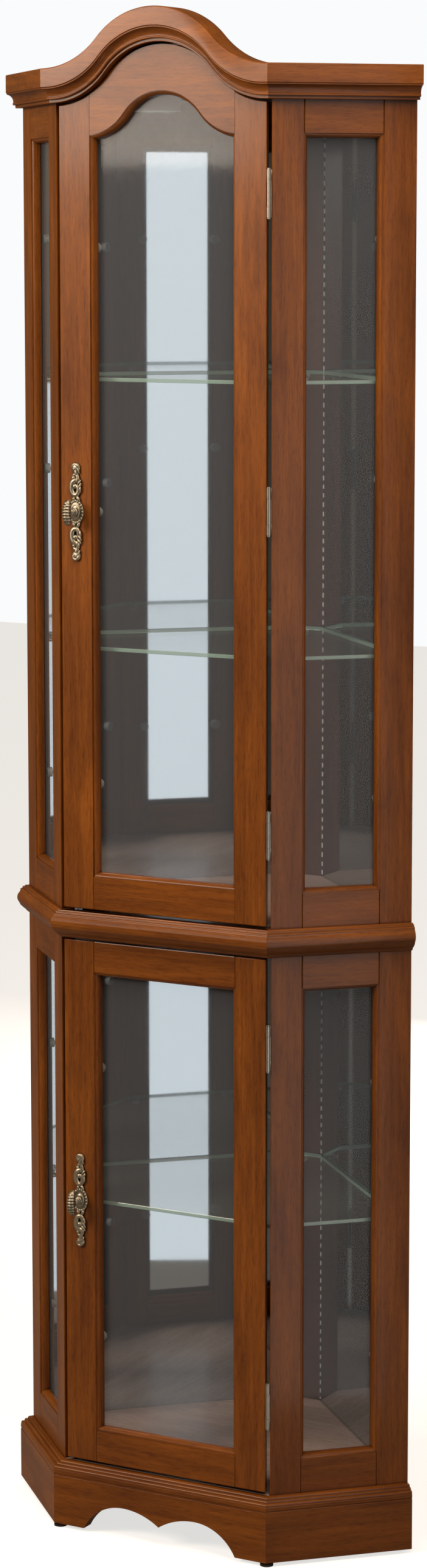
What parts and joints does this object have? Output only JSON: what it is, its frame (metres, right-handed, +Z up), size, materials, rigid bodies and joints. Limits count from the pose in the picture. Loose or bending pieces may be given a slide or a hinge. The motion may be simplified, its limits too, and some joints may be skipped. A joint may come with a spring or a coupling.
{
  "type": "corner curio cabinet",
  "caption": "Five-sided wooden corner display cabinet with an arched upper door, a lower door, glazed canted sides, mirrored backs and glass shelves.",
  "frame": {"origin": "centre of the bounding box's underside, on the floor under the cabinet", "axes": "+Z up, the doors face -Y, +Y points into the room corner, +X to the hinge side"},
  "size_m": [0.562, 0.414, 1.829],
  "materials": {
    "stained_hardwood": "semi-gloss clear lacquer over a red-brown stain",
    "carcass_interior_wood": "satin lacquer over a red-brown stain",
    "back_board_fibreboard": "matt, unfinished hardboard",
    "glide_plastic": "matt moulded",
    "clear_float_glass": "polished",
    "mirror_glass": "silvered glass",
    "clip_plastic": "clear moulded",
    "shelf_glass": "polished, green edge",
    "nickel_plated_steel": "nickel plated",
    "lamp_housing_plastic": "white moulded",
    "lamp_lens_plastic": "frosted",
    "hinge_nickel": "satin nickel plate",
    "catch_plastic": "matt moulded",
    "antique_brass": "darkened antique brass"
  },
  "bodies": {
    "carcass": {"left_front_stile": "stained_hardwood", "left_rear_stile": "stained_hardwood", "left_top_rail": "stained_hardwood", "left_mid_rail": "stained_hardwood", "left_bottom_rail": "stained_hardwood", "right_front_stile": "stained_hardwood", "right_rear_stile": "stained_hardwood", "right_top_rail": "stained_hardwood", "right_mid_rail": "stained_hardwood", "right_bottom_rail": "stained_hardwood", "crown_front": "stained_hardwood", "crown_backer": "stained_hardwood", "crown_left": "stained_hardwood", "crown_right": "stained_hardwood", "waist_rail_front": "stained_hardwood", "waist_moulding_left": "stained_hardwood", "waist_moulding_right": "stained_hardwood", "base_apron_front": "stained_hardwood", "base_board_left": "stained_hardwood", "base_board_right": "stained_hardwood", "roof_board": "carcass_interior_wood", "waist_deck": "carcass_interior_wood", "bottom_deck": "carcass_interior_wood", "corner_post": "carcass_interior_wood", "back_boards": "back_board_fibreboard", "floor_glides": "glide_plastic", "upper_side_glass": "clear_float_glass", "lower_side_glass": "clear_float_glass", "upper_mirrors": "mirror_glass", "lower_mirrors": "mirror_glass", "side_glass_clips": "clip_plastic", "top_shelf": "shelf_glass", "middle_shelf": "shelf_glass", "lower_shelf": "shelf_glass", "shelf_pegs": "nickel_plated_steel", "lamp_housing": "lamp_housing_plastic", "lamp_lens": "lamp_lens_plastic", "hinge_frame_leaves": "hinge_nickel", "hinge_pins": "hinge_nickel", "magnetic_catches": "catch_plastic"},
    "upper_door": {"upper_door_hinge_stile": "stained_hardwood", "upper_door_handle_stile": "stained_hardwood", "upper_door_arched_rail": "stained_hardwood", "upper_door_bottom_rail": "stained_hardwood", "upper_door_glass": "clear_float_glass", "upper_door_clips": "clip_plastic", "upper_door_leaves": "hinge_nickel", "upper_door_strike": "nickel_plated_steel", "upper_backplate": "antique_brass", "upper_knob": "antique_brass"},
    "lower_door": {"lower_door_hinge_stile": "stained_hardwood", "lower_door_handle_stile": "stained_hardwood", "lower_door_top_rail": "stained_hardwood", "lower_door_bottom_rail": "stained_hardwood", "lower_door_glass": "clear_float_glass", "lower_door_clips": "clip_plastic", "lower_door_leaves": "hinge_nickel", "lower_door_strike": "nickel_plated_steel", "lower_backplate": "antique_brass", "lower_knob": "antique_brass"}
  },
  "joints": [
    {"name": "upper_door_swing", "type": "hinge", "parent": "carcass", "child": "upper_door", "pos_m": [0.14153, -0.1795, 1.2565], "axis": [0, 0, 1], "range_deg": [0, 135]},
    {"name": "lower_door_swing", "type": "hinge", "parent": "carcass", "child": "lower_door", "pos_m": [0.14153, -0.1795, 0.4105], "axis": [0, 0, 1], "range_deg": [0, 135]}
  ]
}
